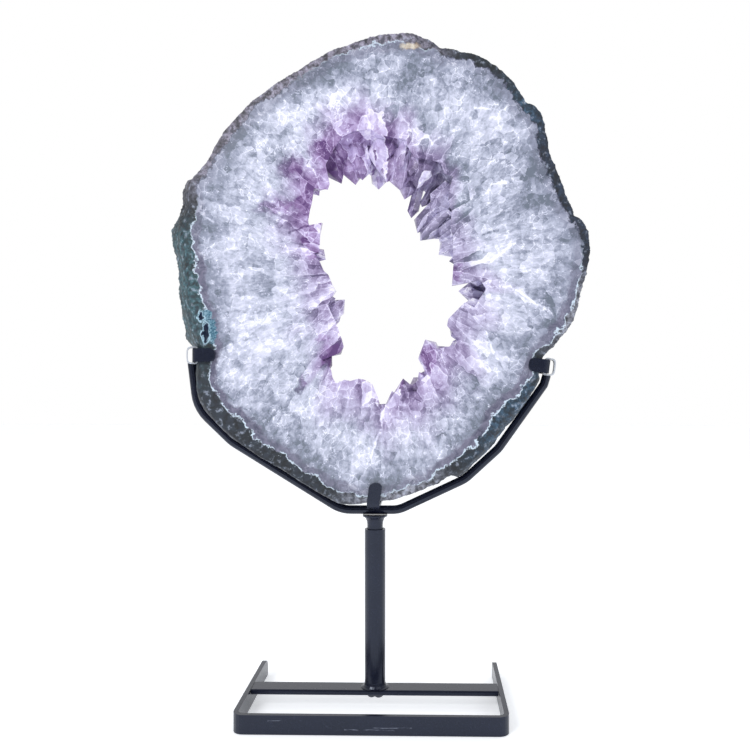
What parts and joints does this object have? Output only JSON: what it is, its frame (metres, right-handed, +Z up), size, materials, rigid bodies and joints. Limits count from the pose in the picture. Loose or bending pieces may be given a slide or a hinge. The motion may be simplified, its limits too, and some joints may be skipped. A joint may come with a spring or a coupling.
{
  "type": "agate slice on a swivelling stand",
  "caption": "Thick polished agate slice with an amethyst-lined hole, upright in a swivelling black steel stand on a U-shaped foot.",
  "frame": {"origin": "on the table, under the middle of the whole object's box", "axes": "+Z up; -Y towards the viewer of the slice's front face and the closed side of the foot; +X to that viewer's right"},
  "size_m": [0.272, 0.0956, 0.4252],
  "materials": {
    "painted_steel": "satin",
    "clear_vinyl": "clear gloss",
    "banded_quartz": "polished faces, rough skin",
    "amethyst": "clear faceted crystal"
  },
  "bodies": {
    "base": {"base_frame": "painted_steel", "crossbar": "painted_steel", "post_tube": "painted_steel"},
    "cradle": {"cradle_pin": "painted_steel", "cradle_rod": "painted_steel", "center_hook": "painted_steel", "left_clip": "painted_steel", "left_clip_sleeve": "clear_vinyl", "right_clip": "painted_steel", "right_clip_sleeve": "clear_vinyl", "agate_slice": "banded_quartz", "amethyst_crust": "amethyst"}
  },
  "joints": [
    {"name": "cradle_swivel", "type": "hinge", "parent": "base", "child": "cradle", "pos_m": [0, -0.0023, 0.113], "axis": [0, 0, 1], "continuous": true}
  ]
}
